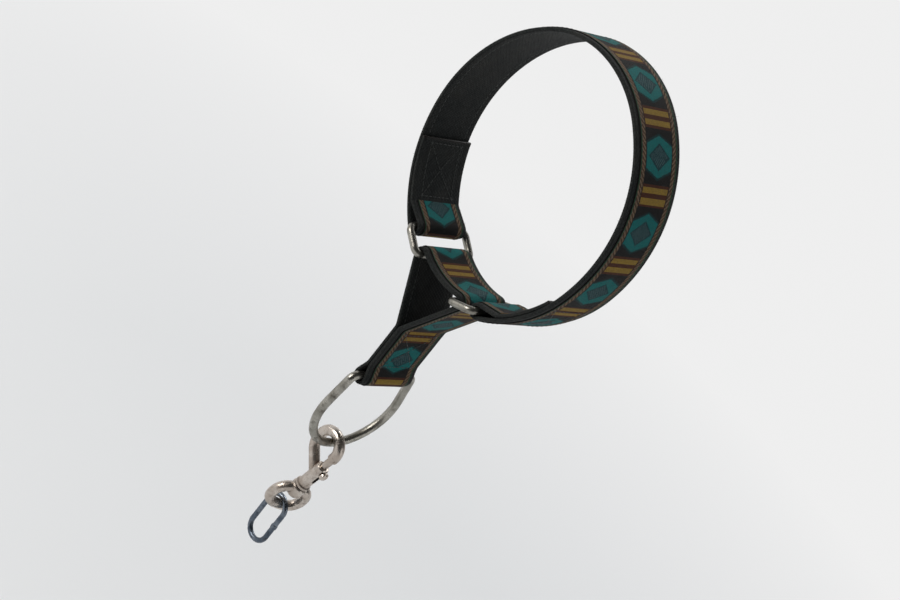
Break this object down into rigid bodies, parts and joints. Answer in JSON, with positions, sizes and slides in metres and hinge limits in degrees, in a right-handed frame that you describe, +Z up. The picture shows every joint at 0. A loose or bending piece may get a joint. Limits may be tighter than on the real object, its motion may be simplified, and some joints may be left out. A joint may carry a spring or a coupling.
{
  "type": "dog collar with swivel snap",
  "caption": "Woven webbing dog collar with a control strap, welded end rings, a leash ring and a swivel bolt snap, hanging as worn.",
  "frame": {"origin": "centre of the neck loop", "axes": "+X runs along the neck towards the head, +Y to the wearer's left, +Z up, away from the leash ring"},
  "size_m": [0.061, 0.1416, 0.3632],
  "materials": {
    "webbing": "matte",
    "ribbon": "matte",
    "ring_steel": "satin",
    "snap_nickel": "satin",
    "link_steel": "satin"
  },
  "bodies": {
    "collar": {"neck_band": "webbing", "neck_ribbon": "ribbon", "end_ring_left": "ring_steel", "end_ring_right": "ring_steel", "control_strap": "webbing", "control_ribbon": "ribbon"},
    "leash_ring": {"leash_ring": "ring_steel"},
    "snap": {"snap_body": "snap_nickel"},
    "bolt": {"snap_bolt": "snap_nickel"},
    "eye": {"swivel_eye": "snap_nickel"},
    "link": {"tether_link": "link_steel"}
  },
  "joints": [
    {"name": "ring_swing", "type": "hinge", "parent": "collar", "child": "leash_ring", "pos_m": [0, 0, -0.14688], "axis": [1, 0, 0], "range_deg": [-75, 75]},
    {"name": "snap_swing", "type": "hinge", "parent": "leash_ring", "child": "snap", "pos_m": [0, 0, -0.19988], "axis": [1, 0, 0], "range_deg": [-70, 70]},
    {"name": "bolt_slide", "type": "slide", "parent": "snap", "child": "bolt", "axis": [0, 0.2079, 0.9781], "range_m": [-0.0075, 0], "stiffness_N_per_m": 150, "springref_m": 0.004},
    {"name": "eye_swivel", "type": "hinge", "parent": "snap", "child": "eye", "pos_m": [0, 0.0021, -0.23278], "axis": [0, 0.2079, 0.9781], "continuous": true},
    {"name": "link_swing", "type": "hinge", "parent": "eye", "child": "link", "pos_m": [0, -0.0022, -0.25303], "axis": [0.9397, -0.3345, 0.0711], "range_deg": [-60, 60]}
  ]
}
